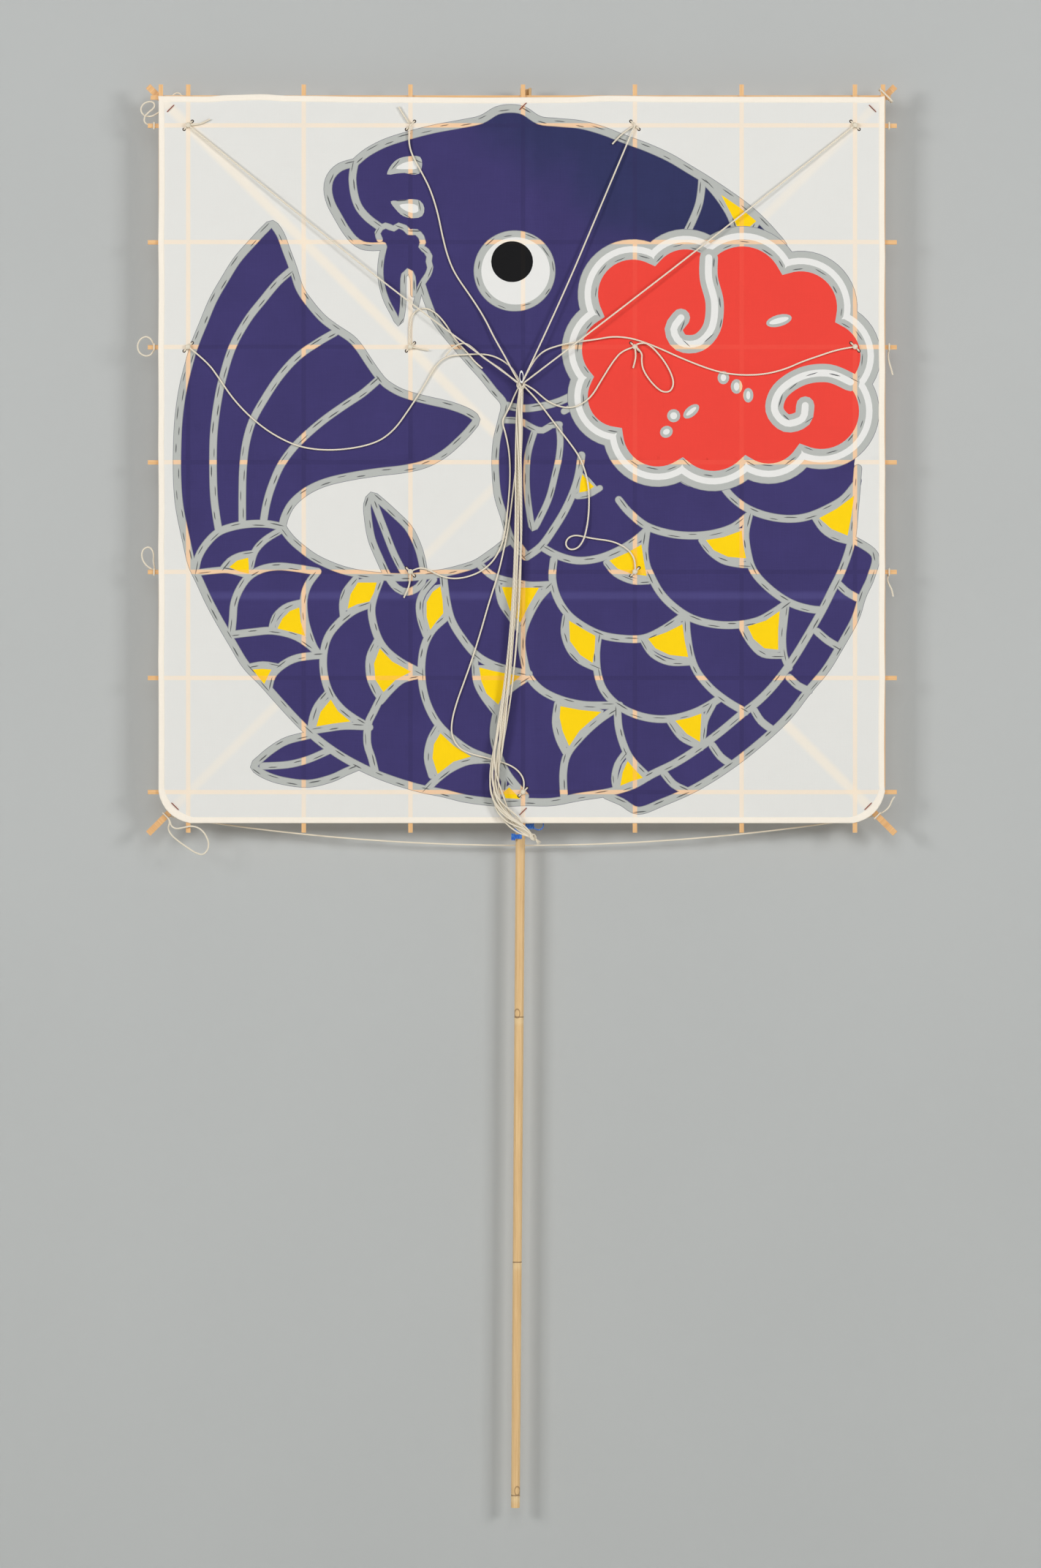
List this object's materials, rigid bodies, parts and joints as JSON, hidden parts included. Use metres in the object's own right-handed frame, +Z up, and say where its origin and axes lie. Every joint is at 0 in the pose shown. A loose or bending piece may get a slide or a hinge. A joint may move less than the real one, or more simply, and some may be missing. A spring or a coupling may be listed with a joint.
{
  "type": "square carp kite",
  "caption": "Square painted cloth kite on a split-bamboo grid with a long bamboo tail bone, string bridle and a gathered hank of flying line.",
  "frame": {"origin": "middle of the top-edge rib where the centre rib crosses it, in the plane where the back of the cloth meets the ribs", "axes": "+Z up, front of the painted cloth faces -Y, +X to the right as seen from the front"},
  "size_m": [1.0413, 0.0451, 1.95],
  "materials": {
    "cloth": "thin plain-weave cotton, hand dyed",
    "hem_cloth": "folded double cotton",
    "split_bamboo": "split bamboo, bare",
    "culm_bamboo": "bamboo culm with its skin, satin",
    "cotton_string": "twisted cotton string",
    "red_thread": "reddish-brown thread",
    "blue_plastic": "soft plastic ribbon"
  },
  "bodies": {
    "kite": {"sail": "cloth", "hem": "hem_cloth", "bone_bindings": "red_thread", "corner_lashings": "red_thread", "blue_tie": "blue_plastic", "column_rib_1": "split_bamboo", "column_rib_2": "split_bamboo", "column_rib_3": "split_bamboo", "column_rib_4": "split_bamboo", "column_rib_5": "split_bamboo", "column_rib_6": "split_bamboo", "column_rib_7": "split_bamboo", "column_rib_8": "split_bamboo", "column_rib_9": "split_bamboo", "row_rib_1": "split_bamboo", "row_rib_2": "split_bamboo", "row_rib_3": "split_bamboo", "row_rib_4": "split_bamboo", "row_rib_5": "split_bamboo", "row_rib_6": "split_bamboo", "row_rib_7": "split_bamboo", "row_rib_8": "split_bamboo", "row_rib_9": "split_bamboo", "diagonal_falling": "split_bamboo", "diagonal_rising": "split_bamboo", "bridle_anchor_ties": "cotton_string", "bridle_knot": "cotton_string", "bow_hitches": "cotton_string", "bridle_line_a1": "cotton_string", "bridle_line_a2": "cotton_string", "bridle_line_a3": "cotton_string", "bridle_line_a4": "cotton_string", "bridle_line_b1": "cotton_string", "bridle_line_b2": "cotton_string", "bridle_line_b3": "cotton_string", "bridle_line_b4": "cotton_string", "bridle_line_c2": "cotton_string", "bridle_line_c3": "cotton_string", "bridle_line_d": "cotton_string", "bridle_twist_strand": "cotton_string", "bridle_slack_loop": "cotton_string", "bow_string_top": "cotton_string", "bow_string_upper": "cotton_string", "bow_string_lower": "cotton_string", "bow_string_foot": "cotton_string", "end_loop_top": "cotton_string", "end_arc_top": "cotton_string", "end_loop_upper": "cotton_string", "end_loop_lower": "cotton_string", "end_loop_foot": "cotton_string", "end_tail_upper": "cotton_string", "end_tail_lower": "cotton_string", "end_tail_foot": "cotton_string"},
    "tail_bone": {"tail_bone": "culm_bamboo"},
    "hank": {"hank": "cotton_string", "hank_end_knot": "cotton_string"}
  },
  "joints": [
    {"name": "tail_bone_slide", "type": "slide", "parent": "kite", "child": "tail_bone", "axis": [0.0074, 0, 1], "range_m": [0, 0.92]},
    {"name": "hank_swing", "type": "hinge", "parent": "kite", "child": "hank", "pos_m": [-0.001, -0.009, -0.3935], "axis": [-1, 0, 0], "range_deg": [0, 90]}
  ]
}
